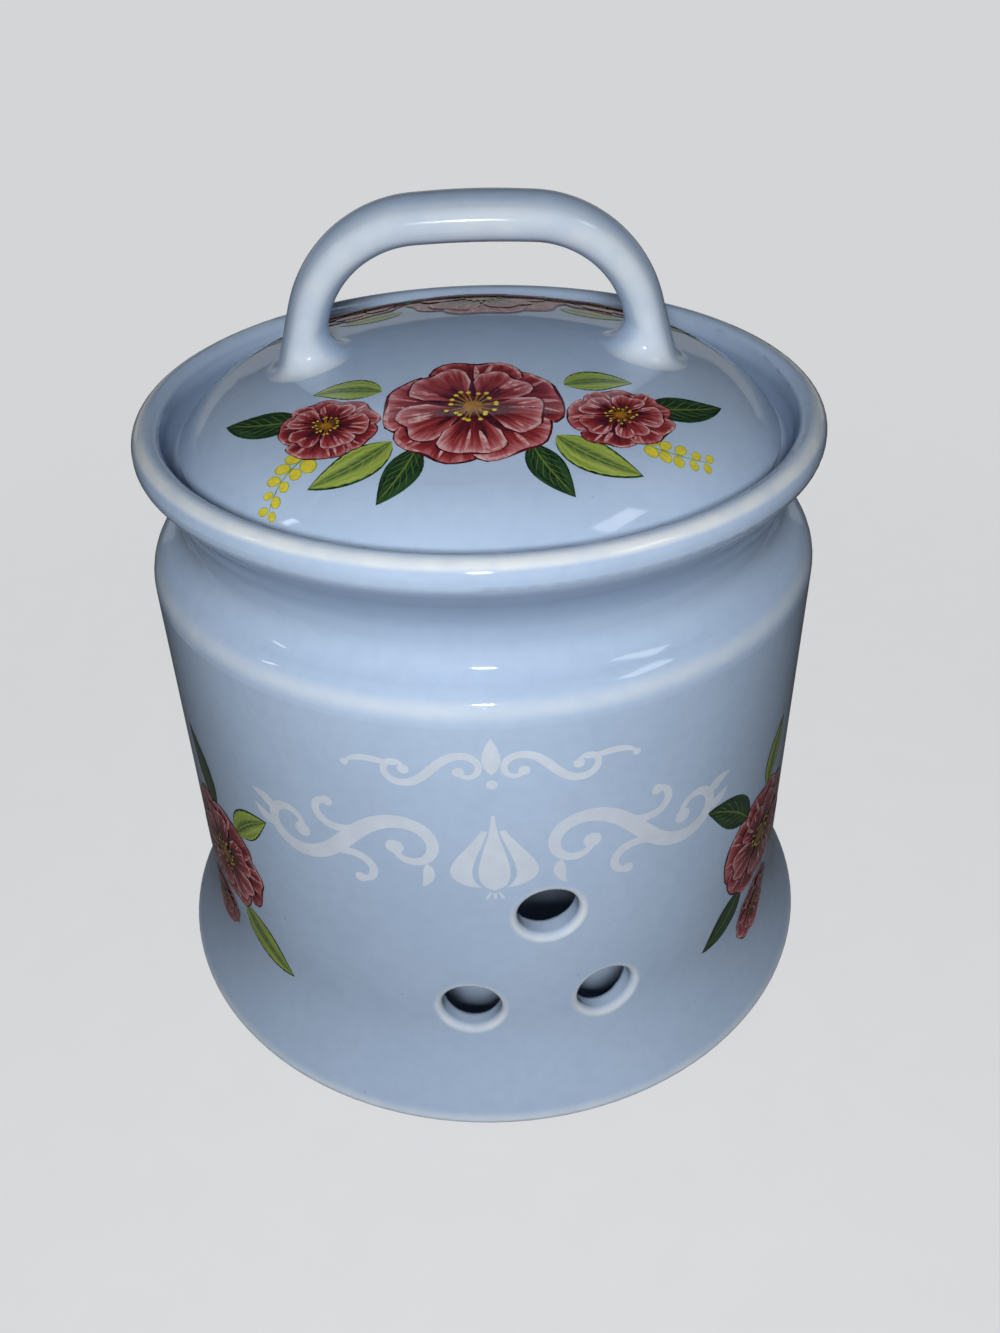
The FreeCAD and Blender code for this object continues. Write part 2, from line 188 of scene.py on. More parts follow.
class Shade:
    """One material and short calls for its nodes. A socket, a number or a colour can be an input."""

    def __init__(self, name):
        self.material = bpy.data.materials.new(name)
        self.material.use_nodes = True
        self.tree = self.material.node_tree
        self.tree.nodes.clear()
        self.output = self.tree.nodes.new("ShaderNodeOutputMaterial")

    def put(self, socket, value):
        if isinstance(value, bpy.types.NodeSocket):
            self.tree.links.new(value, socket)
        elif isinstance(value, tuple) and len(value) == 3 and socket.type == "RGBA":
            socket.default_value = (*value, 1.0)
        else:
            socket.default_value = value

    def math(self, operation, *values):
        node = self.tree.nodes.new("ShaderNodeMath")
        node.operation = operation
        for socket, value in zip(node.inputs, values):
            self.put(socket, value)
        return node.outputs[0]

    def product(self, first, *others):
        for value in others:
            first = self.math("MULTIPLY", first, value)
        return first

    def weighted(self, *parts):
        """The sum of some values, each of them times its weight."""
        products = [self.product(value, weight) for value, weight in parts]
        total = products[0]
        for product in products[1:]:
            total = self.math("ADD", total, product)
        return total

    def reach(self, x, y):
        """How far x and y lead from 0, 0."""
        return self.math("SQRT", self.math("ADD", self.math("POWER", x, 2.0), self.math("POWER", y, 2.0)))

    def split(self, vector):
        node = self.tree.nodes.new("ShaderNodeSeparateXYZ")
        self.put(node.inputs[0], vector)
        return node.outputs[0], node.outputs[1], node.outputs[2]

    def join(self, x, y, z):
        node = self.tree.nodes.new("ShaderNodeCombineXYZ")
        for socket, value in zip(node.inputs, (x, y, z)):
            self.put(socket, value)
        return node.outputs[0]

    def place(self):
        """The object's own coordinates as a vector, in metres."""
        return self.tree.nodes.new("ShaderNodeTexCoord").outputs["Object"]

    def place_mm(self):
        """The object's own x, y and z in millimetres."""
        return [self.product(value, 1 / MM) for value in self.split(self.place())]

    def print_place(self):
        """The place on a petal or a leaf: across it, along it, and off its middle line, each from 0 to 1."""
        across, along, _ = self.split(self.tree.nodes.new("ShaderNodeTexCoord").outputs["UV"])
        side = self.math("ABSOLUTE", self.math("SUBTRACT", self.product(across, 2.0), 1.0))
        return across, along, side

    def tone(self):
        """The tone that the print's points carry, from 0 to 1."""
        node = self.tree.nodes.new("ShaderNodeAttribute")
        node.attribute_name = "tone"
        return node.outputs["Fac"]

    def is_seen(self):
        """1 for what the camera sees itself, and 0 for what is lit or mirrored."""
        return self.tree.nodes.new("ShaderNodeLightPath").outputs["Is Camera Ray"]

    def noise(self, vector, scale, detail=2.0, roughness=0.5):
        node = self.tree.nodes.new("ShaderNodeTexNoise")
        self.put(node.inputs["Vector"], vector)
        node.inputs["Scale"].default_value = scale
        node.inputs["Detail"].default_value = detail
        node.inputs["Roughness"].default_value = roughness
        return node.outputs["Fac"]

    def cells(self, vector, scale):
        """The distance to the nearest of many scattered points."""
        node = self.tree.nodes.new("ShaderNodeTexVoronoi")
        self.put(node.inputs["Vector"], vector)
        node.inputs["Scale"].default_value = scale
        return node.outputs["Distance"]

    def step(self, value, low, high):
        """0 below low, 1 above high and a smooth run between them. With low above high it falls."""
        node = self.tree.nodes.new("ShaderNodeMapRange")
        node.interpolation_type = "SMOOTHSTEP"
        self.put(node.inputs["Value"], value)
        node.inputs["From Min"].default_value = min(low, high)
        node.inputs["From Max"].default_value = max(low, high)
        node.inputs["To Min"].default_value = 0.0 if low < high else 1.0
        node.inputs["To Max"].default_value = 1.0 if low < high else 0.0
        return node.outputs["Result"]

    def band(self, value, middle, half):
        """1 at the middle, falling smoothly to 0 at half away from it on both sides."""
        off = self.math("ABSOLUTE", self.math("SUBTRACT", value, middle))
        return self.step(off, half, 0.0)

    def mix(self, factor, first, second):
        node = self.tree.nodes.new("ShaderNodeMix")
        node.data_type = "RGBA"
        self.put(node.inputs["Factor"], factor)
        colours = [socket for socket in node.inputs if socket.type == "RGBA"]
        self.put(colours[0], first)
        self.put(colours[1], second)
        return [socket for socket in node.outputs if socket.type == "RGBA"][0]

    def ramp(self, factor, stops):
        node = self.tree.nodes.new("ShaderNodeValToRGB")
        self.put(node.inputs["Fac"], factor)
        elements = node.color_ramp.elements
        while len(elements) < len(stops):
            elements.new(0.5)
        for element, (position, colour) in zip(elements, stops):
            element.position = position
            element.color = (*colour, 1.0)
        return node.outputs["Color"]

    def emission(self, colour, strength):
        node = self.tree.nodes.new("ShaderNodeEmission")
        self.put(node.inputs["Color"], colour)
        self.put(node.inputs["Strength"], strength)
        return node.outputs[0]

    def glossy(self, colour, bare=None, waves=0.08, haze=0.03):
        """The shared gloss of the fired glaze, with faint waves and smears, and dull where the clay is bare.

        The waves are that high in millimetres, and haze is the roughness of the clearest glaze.
        """
        place = self.place()
        wave, ripple = self.noise(place, 60.0, detail=1.0), self.noise(place, 260.0, detail=1.0)
        bump = self.tree.nodes.new("ShaderNodeBump")
        bump.inputs["Distance"].default_value = waves * MM
        self.put(bump.inputs["Height"], self.weighted((wave, 1.0), (ripple, 0.12)))
        roughness = self.math("ADD", haze, self.product(self.noise(place, 35.0, detail=3.0), 0.06))
        if bare is not None:
            roughness = self.math("MAXIMUM", roughness, self.product(bare, 0.8))
        shader = self.tree.nodes.new("ShaderNodeBsdfPrincipled")
        shader.inputs["IOR"].default_value = 1.5
        self.put(shader.inputs["Base Color"], colour)
        self.put(shader.inputs["Roughness"], roughness)
        self.put(shader.inputs["Normal"], bump.outputs["Normal"])
        self.tree.links.new(shader.outputs[0], self.output.inputs["Surface"])
        return self.material


# ---- Glaze ----------------------------------------------------------------------------------


def glaze_body(shade):
    """The blue glaze itself, with soft clouds, fine mottling and a few iron specks."""
    place = shade.place()
    cloud = shade.step(shade.noise(place, 20.0, detail=3.0, roughness=0.6), 0.32, 0.7)
    colour = shade.mix(cloud, GLAZE_BLUE, GLAZE_PALE)
    mottle = shade.step(shade.noise(place, 420.0, detail=2.0, roughness=0.6), 0.35, 0.75)
    colour = shade.mix(shade.product(mottle, 0.10), colour, GLAZE_DEEP)
    specks = shade.step(shade.cells(place, 95.0), 0.035, 0.02)
    return shade.mix(shade.product(specks, 0.35), colour, IRON_SPECK)


def thin_glaze(shade, colour, amount, most):
    """Glaze breaks to cream where it runs thin, on an edge. Its border is uneven."""
    uneven = shade.step(shade.noise(shade.place(), 150.0), 0.25, 0.7)
    share = shade.product(amount, shade.math("ADD", 0.62, shade.product(uneven, 0.38)))
    return shade.mix(shade.product(share, most), colour, GLAZE_CREAM)


def bare_clay(shade, colour, bare):
    """Clay with its grit where the glaze was wiped off, so that the piece doesn't stick in the kiln."""
    grit = shade.noise(shade.place(), 900.0, detail=3.0, roughness=0.7)
    clay = shade.mix(shade.product(grit, 0.5), BARE_CLAY, times(BARE_CLAY, 0.6))
    return shade.mix(bare, colour, clay)


def vent_rims(shade, x, y, z):
    """How near a point is to the rounded rim of a vent hole, at the front or, turned round, at the back."""
    side = shade.math("SIGN", shade.product(y, -1.0))
    front_x, front_y = shade.product(x, side), shade.product(y, side)
    nearest = None
    for along, height in VENT_PLACES:
        turn = VENT_TURN + along / WALL_RADIUS
        out_x, out_y = math.sin(turn), -math.cos(turn)
        depth = shade.weighted((front_x, out_x), (front_y, out_y))
        off = shade.weighted((front_x, -out_y), (front_y, out_x))
        distance = shade.reach(off, shade.math("SUBTRACT", z, height))
        outside = shade.step(depth, WALL_RADIUS - 1.7, WALL_RADIUS - 0.5)
        near = shade.product(shade.band(distance, VENT_RIM, 1.1), outside)
        nearest = near if nearest is None else shade.math("MAXIMUM", nearest, near)
    return nearest


def jar_glaze():
    """Deep blue in the cove under the lip and on the lip's lower round, partly pooled glaze and partly
    painted shade, and glaze thin on lip, shoulder, foot and vents.
    """
    shade = Shade("jar_glaze")
    x, y, z = shade.place_mm()
    r = shade.reach(x, y)
    # the cove and the lip's lower round: pooled glaze, and painted shade under the lip's overhang
    cove_pool_and_shade = shade.product(
        shade.step(r, WALL_RADIUS - 0.6, WALL_RADIUS - 2.6),
        shade.step(r, NECK_MIDDLE - 0.5, NECK_MIDDLE + 0.5),
        shade.step(z, NECK_FOOT + 0.5, NECK_FOOT + 11.0),
        shade.step(z, LIP_LOW + 1.5, LIP_LOW - 0.7),
    )
    colour = shade.mix(shade.product(cove_pool_and_shade, COVE_POOL_AND_SHADE), glaze_body(shade), GLAZE_DEEP)
    crest = shade.product(
        shade.step(z, LIP_TOP - 1.6, LIP_TOP - 0.8), shade.step(r, LIP_CREST - 0.3, LIP_CREST + 1.3)
    )
    colour = thin_glaze(shade, colour, crest, CREST_CREAM)
    near_wall = shade.step(r, WALL_RADIUS - 2.5, WALL_RADIUS - 1.3)
    shoulder = shade.product(shade.band(z, SHOULDER_LINE, 2.2), near_wall)
    colour = thin_glaze(shade, colour, shoulder, SHOULDER_CREAM)
    foot = shade.product(shade.step(z, 2.6, 1.2), shade.step(r, FOOT_RADIUS - 1.4, FOOT_RADIUS - 0.6))
    colour = thin_glaze(shade, colour, foot, FOOT_CREAM)
    colour = thin_glaze(shade, colour, vent_rims(shade, x, y, z), VENT_CREAM)
    on_ring = shade.step(r, FOOT_RING_INNER - 1.0, FOOT_RING_INNER - 0.5)
    bare = shade.product(shade.step(z, 0.30, 0.10), on_ring)
    return shade.glossy(bare_clay(shade, colour, bare), bare)


def lid_glaze():
    """Glaze thin on the lid's edge, and wiped off the lower end of its locating ring."""
    shade = Shade("lid_glaze")
    x, y, z = shade.place_mm()
    on_edge = shade.step(shade.reach(x, y), LID_EDGE - 1.6, LID_EDGE - 0.9)
    edge = shade.product(on_edge, shade.band(z, SEAT_HEIGHT + 0.9, 1.2))
    colour = thin_glaze(shade, glaze_body(shade), edge, LID_EDGE_CREAM)
    bare = shade.step(z, RING_LOW + 0.30, RING_LOW + 0.05)
    return shade.glossy(bare_clay(shade, colour, bare), bare)


def handle_glaze():
    """Glaze thin on both sides of the strap. Its surface is more uneven, as the strap was drawn by hand."""
    shade = Shade("handle_glaze")
    _, y, _ = shade.place_mm()
    sides = shade.step(shade.math("ABSOLUTE", y), 2.6, 6.0)
    return shade.glossy(thin_glaze(shade, glaze_body(shade), sides, HANDLE_CREAM), waves=0.22, haze=0.12)


# ---- Print colours --------------------------------------------------------------------------


def brush_streaks(shade, across, along, tone, fineness, shift, scale, roughness):
    """Streaks along a petal or a leaf. The tone moves them, so that no two shapes have the same ones."""
    place = shade.join(shade.product(across, fineness), along, shade.product(tone, shift))
    return shade.noise(place, scale, detail=4.0, roughness=roughness)


def petal_colour():
    """A brushed petal: wine at its base, red and rose further out, with streaks along it and a pale edge."""
    shade = Shade("petal_colour")
    across, along, side = shade.print_place()
    tone = shade.tone()
    streaks = brush_streaks(shade, across, along, tone, fineness=9.0, shift=9.0, scale=1.6, roughness=0.65)
    value = shade.weighted(
        (along, 0.62),
        (shade.math("SUBTRACT", streaks, 0.5), 0.95),
        (shade.step(side, 0.72, 1.0), 0.16),
        (shade.step(along, 0.82, 1.0), 0.16),
        (shade.math("SUBTRACT", tone, 0.5), 0.34),
    )
    stops = [(0.10, MAROON), (0.30, WINE), (0.51, RED), (0.73, ROSE), (0.97, BLUSH)]
    return shade.glossy(shade.ramp(value, stops))


def leaf_colour():
    """A painted leaf, dark where its tone is low and lime where it is high, with a pale rib and veins."""
    shade = Shade("leaf_colour")
    across, along, side = shade.print_place()
    tone = shade.tone()
    streaks = brush_streaks(shade, across, along, tone, fineness=5.0, shift=7.0, scale=2.2, roughness=0.6)
    dark = shade.mix(shade.step(streaks, 0.35, 0.75), FOREST, FERN)
    light = shade.mix(shade.step(streaks, 0.35, 0.70), LIME, LIME_PALE)
    light = shade.mix(shade.step(side, 0.55, 0.0), light, FERN)
    is_light = shade.step(tone, 0.4, 0.6)
    colour = shade.mix(is_light, dark, light)
    course = shade.weighted((along, 7.0), (side, -2.2))  # grows by 1 from one vein to the next
    vein = shade.band(shade.math("FRACT", course), 0.5, 0.10)
    rib = shade.step(side, 0.10, 0.02)
    lines = shade.math("MAXIMUM", rib, shade.product(vein, shade.step(side, 0.92, 0.6)))
    pale = shade.mix(is_light, LIME, LIME_PALE)
    return shade.glossy(shade.mix(shade.product(lines, 0.55), colour, pale))


def plain_print(name, light, dark, grain):
    """One brushed colour, which varies a little over the stroke."""
    shade = Shade(name)
    cover = shade.step(shade.noise(shade.place(), grain, detail=3.0, roughness=0.6), 0.35, 0.7)
    return shade.glossy(shade.mix(cover, dark, light))


# ---- Drawing on the surfaces ----------------------------------------------------------------


def dome_edge():
    """The dome's edge arc: the r and z of its middle, and the turn at which the crown hands over to it."""
    crown_z = DOME_TOP - CROWN_ROUND
    between = CROWN_ROUND - DOME_EDGE_ROUND
    reach = math.hypot(LID_EDGE, SEAT_HEIGHT - crown_z)
    spread = math.acos((between**2 + reach**2 - DOME_EDGE_ROUND**2) / (2 * between * reach))
    turn = math.atan2(LID_EDGE, SEAT_HEIGHT - crown_z) - spread
    return between * math.sin(turn), crown_z + between * math.cos(turn), turn


def on_dome(u, v):
    """The point and normal of the lid's dome that lie under a flat drawing laid over its top."""
    edge_r, edge_z, turn = dome_edge()
    run = math.hypot(u, v)
    lean = run / CROWN_ROUND
    if lean < turn:
        r = CROWN_ROUND * math.sin(lean)
        z = DOME_TOP - CROWN_ROUND + CROWN_ROUND * math.cos(lean)
    else:
        lean = turn + (run - CROWN_ROUND * turn) / DOME_EDGE_ROUND
        r = edge_r + DOME_EDGE_ROUND * math.sin(lean)
        z = edge_z + DOME_EDGE_ROUND * math.cos(lean)
    out = Vector((u, v, 0)) / max(run, 1e-9)  # any direction will do at the very top
    return out * r + Vector((0, 0, z)), out * math.sin(lean) + Vector((0, 0, math.cos(lean)))


def on_wall(u, v):
    """The point and normal of the jar's wall at u along it from the front and v up."""
    turn = u / WALL_RADIUS
    out = Vector((math.sin(turn), -math.cos(turn), 0))
    if v >= FLARE_HEIGHT:
        return out * WALL_RADIUS + Vector((0, 0, v)), out
    lean = math.asin((FLARE_HEIGHT - v) / FLARE_ROUND)
    r = WALL_RADIUS + FLARE_ROUND * (1 - math.cos(lean))
    return out * r + Vector((0, 0, v)), out * math.cos(lean) + Vector((0, 0, math.sin(lean)))


class Drawing:
    """A print as thin layers of painted shapes, each laid on the surface a little above the one before."""

    def __init__(self, name, body, ground, materials):
        self.name = name
        self.body = body
        self.ground = ground
        self.materials = materials
        self.points, self.normals, self.faces = [], [], []
        self.slots, self.tones, self.uvs = [], [], []

    def stand(self, place, turn=0.0, squash=1.0, base=0):
        """The next shapes are drawn about that place, turned and, along their own v, squashed."""
        self.origin, self.turn, self.squash, self.base = place, turn, squash, base

    def patch(self, shape, material, level=0, tone=0.5, across=8, along=10):
        """A grid over one shape, a function of -1 to 1 across and 0 to 1 along that gives x and y."""
        first = len(self.points)
        lift = PRINT_LIFT + LEVEL_LIFT * (self.base + level)
        for j in range(along + 1):
            for i in range(across + 1):
                x, y = shape(2 * i / across - 1, j / along)
                point, normal = self.ground(*offset(self.origin, self.turn, (x, y * self.squash)))
                self.points.append((point + normal * lift) * MM)
                self.normals.append(normal)
                self.uvs.append((i / across, j / along))
                self.tones.append(tone)
        for j in range(along):
            for i in range(across):
                low = first + j * (across + 1) + i
                high = low + across + 1
                self.faces.append((low, low + 1, high + 1, high))
                self.slots.append(self.materials.index(material))

    def stroke(self, path, width, material, level=0):
        """A brush stroke along a path of x, y points. Its width is a function of 0 to 1 along it."""
        last = len(path) - 1

        def shape(side, share):
            k = round(share * last)
            before, after = path[max(k - 1, 0)], path[min(k + 1, last)]
            ahead = (Vector(after) - Vector(before)).normalized()
            half = side * width(share) / 2
            return path[k][0] - ahead.y * half, path[k][1] + ahead.x * half

        self.patch(shape, material, level, across=2, along=last)

    def finish(self):
        mesh = bpy.data.meshes.new(self.name)
        mesh.from_pydata([tuple(p) for p in self.points], [], self.faces)
        for material in self.materials:
            mesh.materials.append(material)
        mesh.polygons.foreach_set("material_index", self.slots)
        mesh.polygons.foreach_set("use_smooth", [True] * len(self.faces))
        layer = mesh.uv_layers.new(name="print")
        for loop in mesh.loops:
            layer.data[loop.index].uv = self.uvs[loop.vertex_index]
        tone = mesh.attributes.new("tone", "FLOAT", "POINT")
        tone.data.foreach_set("value", self.tones)
        mesh.update()
        self.face_outwards(mesh)
        mesh.normals_split_custom_set_from_vertices([tuple(n) for n in self.normals])
        piece = bpy.data.objects.new(self.name, mesh)
        bpy.context.scene.collection.objects.link(piece)
        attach(piece, self.body)

    def face_outwards(self, mesh):
        """Turns over the faces that a mirrored or reversed shape has left looking into the clay."""
        for polygon in mesh.polygons:
            if polygon.normal.dot(self.normals[polygon.vertices[0]]) < 0:
                polygon.flip()
        mesh.update()


# ---- Shapes, in which side runs from -1 to 1 across and share from 0 to 1 along ------------------


def petal_shape(length, spread, turn, notch, wobble):
    """A broad rose petal that opens from the flower's middle, with a shallow notch in its tip."""
    start, at_sides, notch_half = 0.10, 0.58, 0.22  # shares of the length, and of half the width

    def shape(side, share):
        fan = spread * (0.55 + 0.45 * share**0.7)
        rim = at_sides
        if abs(side) < 1:
            rim += (1 - at_sides) * (1 - abs(side) ** 3.2) ** 0.42
        rim -= notch * math.exp(-((side / notch_half) ** 2))
        rim += wobble * math.sin(side * 7.0 + turn * 3.0)
        reach = length * (start + (1 - start) * share * rim)
        angle = turn + side * fan
        return reach * math.cos(angle), reach * math.sin(angle)

    return shape


def leaf_shape(start, turn, length, width, curve, serration=0.0):
    """A pointed leaf along a bent rib, with small teeth if it has serration."""
    teeth = 9

    def shape(side, share):
        bend = turn + curve * share
        middle = offset(start, bend, (length * share, 0.0))
        half = width / 2 * math.sin(math.pi * share**0.82) ** 0.9
        half *= 1 + serration * (((share * teeth) % 1) - 0.5)
        return offset(middle, bend + curve * share + math.pi / 2, (side * half, 0.0))

    return shape


def disc_shape(middle, radius, stretch=1.0, turn=0.0):
    """A round or oval dab."""

    def shape(side, share):
        rise = 2 * share - 1
        wide = math.sqrt(max(1 - rise**2, 0.0))
        return offset(middle, turn, (side * wide * radius, rise * radius * stretch))

    return shape


def tapered(width):
    """A brush stroke's width: thin at both ends and full in the middle."""
    return lambda share: width * (0.12 + 0.88 * math.sin(math.pi * share) ** 0.7)


def swelling(end, middle):
    """A pen stroke's width at its ends and in its middle."""
    return lambda share: end + (middle - end) * math.sin(math.pi * share)


def even(width):
    """The same width all along."""
    return lambda share: width


# ---- Flowers, leaves and berries ------------------------------------------------------------


def petal_line(shape, side, low, high, drift):
    """A line on a petal, from one share of its length to another, that drifts sideways."""
    steps = [i / LINE_STEPS for i in range(LINE_STEPS + 1)]
    return [shape(side + drift * step, low + (high - low) * step) for step in steps]


def draw_petal(drawing, palette, dice, length, spread, turn, tone, level):
    """One brushed petal: dark rim, body, wine strokes from the heart and pale strokes from the tip."""
    wobble = dice.uniform(0.012, 0.035) * dice.choice((-1, 1))
    rim = petal_shape(length * 1.025, spread * 1.04, turn, 0.05, wobble)
    body = petal_shape(length, spread, turn, 0.07, wobble)
    drawing.patch(rim, palette["shadow"], level, across=12, along=6)
    drawing.patch(body, palette["petal"], level + 1, tone, across=16, along=14)
    for _ in range(WINE_STROKES):
        side, far = dice.uniform(-0.75, 0.75), dice.uniform(0.42, 0.72)
        line = petal_line(body, side, 0.12, far, dice.uniform(-0.12, 0.12))
        drawing.stroke(line, tapered(length * dice.uniform(0.035, 0.085)), palette["shadow"], level + 2)
    for _ in range(PALE_STROKES):
        side, near = dice.uniform(-0.85, 0.85), dice.uniform(0.45, 0.68)
        line = petal_line(body, side, near, 0.97, dice.uniform(-0.10, 0.10))
        drawing.stroke(line, tapered(length * dice.uniform(0.03, 0.075)), palette["edge"], level + 3)
    lit = dice.choice((-1, 1))
    edge = [body(lit * (0.1 + 0.8 * i / 9), 0.985) for i in range(10)]
    drawing.stroke(edge, tapered(length * 0.055), palette["edge"], level + 3)


def draw_rose(drawing, palette, dice, radius, first_turn):
    """An open wild rose: two rows of petals, in each of which every other petal lies on top, and stamens."""
    for row, (reach, tone) in enumerate(((1.0, 0.34), (0.76, 0.58))):
        for k in range(PETALS):
            turn = first_turn + (k + 0.5 * row) * 2 * math.pi / PETALS + dice.uniform(-0.07, 0.07)
            spread = math.pi / PETALS * (1.18 - 0.22 * row)
            length = radius * reach * dice.uniform(0.90, 1.06)
            stack = 2 if k == PETALS - 1 else k % 2
            level = ROW_LEVELS * row + PETAL_LEVELS * stack
            draw_petal(drawing, palette, dice, length, spread, turn, tone + dice.uniform(-0.24, 0.28), level)
    heart = 2 * ROW_LEVELS
    drawing.patch(disc_shape((0, 0), radius * 0.19), palette["shadow"], heart, across=10)
    drawing.patch(disc_shape((0, 0), radius * 0.10), palette["amber"], heart + 1)
    for k in range(STAMENS):
        turn = k * 2 * math.pi / STAMENS + dice.uniform(-0.12, 0.12)
        far = radius * dice.uniform(0.17, 0.30)
        stalk = [offset((0, 0), turn, (share * far, 0.0)) for share in (0.2, 0.6, 1.0)]
        drawing.stroke(stalk, even(radius * 0.017), palette["amber"], heart + 1)
        drawing.patch(disc_shape(stalk[-1], radius * 0.025), palette["yellow"], heart + 2, across=4, along=4)


def draw_leaf(drawing, palette, start, turn, length, width, curve, tone, level=0):
    """A leaf with a thin dark outline."""
    outline = leaf_shape(start, turn, length * 1.03, width * 1.10, curve)
    drawing.patch(outline, palette["dark leaf"], level, DARK, across=6, along=14)
    leaf = leaf_shape(start, turn, length, width, curve, serration=0.10)
    drawing.patch(leaf, palette["leaf"], level + 1, tone, across=10, along=27)


def draw_berries(drawing, palette, dice, start, turn, length):
    """A bent stem with yellow berries in pairs, smaller towards its tip."""
    bend = 0.35
    shares = [k / 10 for k in range(11)]
    stem = [offset(start, turn + bend * share, (length * share, 0.0)) for share in shares]
    drawing.stroke(stem, lambda share: 0.42 * (1 - 0.6 * share), palette["lime"], 3)
    for k in range(2, 11, 2):
        for side in (-1, 1):
            size = 1.45 * (1 - 0.05 * k) * dice.uniform(0.85, 1.1)
            lean = turn + bend + side * dice.uniform(0.9, 1.3)
            place = offset(stem[k], lean, (size * 1.5, 0.0))
            for radius, ink, level in ((size, "lime", 4), (size * 0.88, "yellow", 5)):
                berry = disc_shape(place, radius, stretch=1.35, turn=lean + 1.57)
                drawing.patch(berry, palette[ink], level, across=6, along=6)


def draw_spray(drawing, palette, place, turn, dice):
    """The lid's spray, even on both sides: a rose, two smaller ones turned away, leaves and berries."""
    drawing.stand(place, turn)
    for side in (-1, 1):
        outward = 0.0 if side > 0 else math.pi
        for leaf in SPRAY_LEAVES:
            start = (side * leaf["start"][0], leaf["start"][1])
            mirrored = dict(leaf, start=start, turn=outward + side * leaf["turn"], curve=side * leaf["curve"])
            draw_leaf(drawing, palette, **mirrored)
        draw_berries(drawing, palette, dice, (side * 25, -6), outward - side * 0.50, length=13)
    for side in (-1, 1):
        at = offset(place, turn, (side * 23.8, -0.5))
        drawing.stand(at, turn + side * 0.5, squash=0.78, base=FLOWER_BASE)
        draw_rose(drawing, palette, dice, radius=9.8, first_turn=0.2 * side)
    drawing.stand(place, turn, squash=0.94, base=FLOWER_BASE)
    draw_rose(drawing, palette, dice, radius=16.0, first_turn=0.32)


def draw_posy(drawing, palette, place, turn, dice):
    """The jar's smaller print: one rose over a bud, with leaves above and below."""
    drawing.stand(place, turn)
    for leaf in POSY_LEAVES:
        draw_leaf(drawing, palette, **leaf)
    drawing.stand(offset(place, turn, (-3.5, -20)), turn + 0.4, squash=0.72, base=FLOWER_BASE)
    draw_rose(drawing, palette, dice, radius=8.2, first_turn=0.9)
    drawing.stand(place, turn, squash=0.96, base=FLOWER_BASE)
    draw_rose(drawing, palette, dice, radius=13.6, first_turn=0.1)


# ---- Pale scroll ornament -------------------------------------------------------------------


def bent_path(start, heading, length, first_bend, last_bend, steps):
    """The points of a line whose bend, in radians per millimetre, changes evenly from end to end."""
    x, y = start
    pace = length / steps
    path = [(x, y)]
    for k in range(steps):
        heading += (first_bend + (last_bend - first_bend) * (k + 0.5) / steps) * pace
        x += pace * math.cos(heading)
        y += pace * math.sin(heading)
        path.append((x, y))
    return path


def scroll(middle, turn, length, first_bend, last_bend):
    """A scroll about its middle, with the line between its ends at that turn."""
    path = bent_path((0.0, 0.0), 0.0, length, first_bend, last_bend, SCROLL_STEPS)
    (x0, y0), (x1, y1) = path[0], path[-1]
    lean = turn - math.atan2(y1 - y0, x1 - x0)
    return [offset(middle, lean, (x - (x0 + x1) / 2, y - (y0 + y1) / 2)) for x, y in path]


def tendril(stem, share, turn, length, first_bend, last_bend):
    """A curl that leaves a stem at a share of the stem's length, turned from the stem's own heading."""
    k = round(share * (len(stem) - 1))
    (x0, y0), (x1, y1) = stem[k - 1], stem[k + 1]
    heading = math.atan2(y1 - y0, x1 - x0) + turn
    return bent_path(stem[k], heading, length, first_bend, last_bend, TENDRIL_STEPS)


def draw_scroll(drawing, material, path, width, knobs):
    """A pen stroke and its mirror image, with a round knob on each end that has a radius."""
    for side in (1, -1):
        line = [(side * x, y) for x, y in path]
        drawing.stroke(line, width, material)
        for place, radius in ((line[0], knobs[0]), (line[-1], knobs[1])):
            if radius:
                drawing.patch(disc_shape(place, radius), material, 1)


def draw_plain_leaf(drawing, material, start, turn, length, width, curve):
    """A leaf in one colour and its mirror image."""
    drawing.patch(leaf_shape(start, turn, length, width, curve), material, 1, across=4, along=12)
    start, turn = (-start[0], start[1]), math.pi - turn
    drawing.patch(leaf_shape(start, turn, length, width, -curve), material, 1, across=4, along=12)


def draw_bulb(drawing, material):
    """A garlic bulb as three cloves, its stalk and its roots."""
    low, tall, wide = -8.0, 17.0, 9.2

    def half_width(share):
        belly = math.sin(math.pi * share**0.62) ** 0.9 * (1 - share) ** 0.75
        return wide * belly + 0.9 * share

    def middle_clove(side, share):
        return side * half_width(share) * 0.36, low + tall * share

    drawing.patch(middle_clove, material, 0, across=4, along=24)
    for hand in (1, -1):

        def side_clove(side, share, hand=hand):
            share = 0.035 + 0.76 * share
            reach = 0.50 + 0.50 * (side + 1) / 2
            return hand * half_width(share) * reach, low + tall * share + 0.5 * abs(reach - 0.5)

        drawing.patch(side_clove, material, 0, across=4, along=24)
    for lean in (-0.55, 0.0, 0.55):
        root = [(1.3 * lean + k * 0.5 * lean, low - 0.6 - 0.5 * k) for k in range(4)]
        drawing.stroke(root, even(0.5), material)


def draw_main_ornament(drawing, material):
    """The wide band: a bulb between two large scrolls, with leaves and small curls in their forks."""
    draw_bulb(drawing, material)
    stem = scroll(middle=(25.5, 0.0), turn=-0.10, length=62.0, first_bend=-0.37, last_bend=0.37)
    draw_scroll(drawing, material, stem, swelling(1.1, 3.1), knobs=(1.6, 1.6))
    for share, back in ((0.40, 0.0), (0.60, math.pi)):
        curl = tendril(stem, share, turn=back + 0.25, length=15.0, first_bend=-0.04, last_bend=0.52)
        draw_scroll(drawing, material, curl, swelling(1.2, 1.7), knobs=(0, 1.1))
    for leaf in ORNAMENT_LEAVES:
        draw_plain_leaf(drawing, material, **leaf)


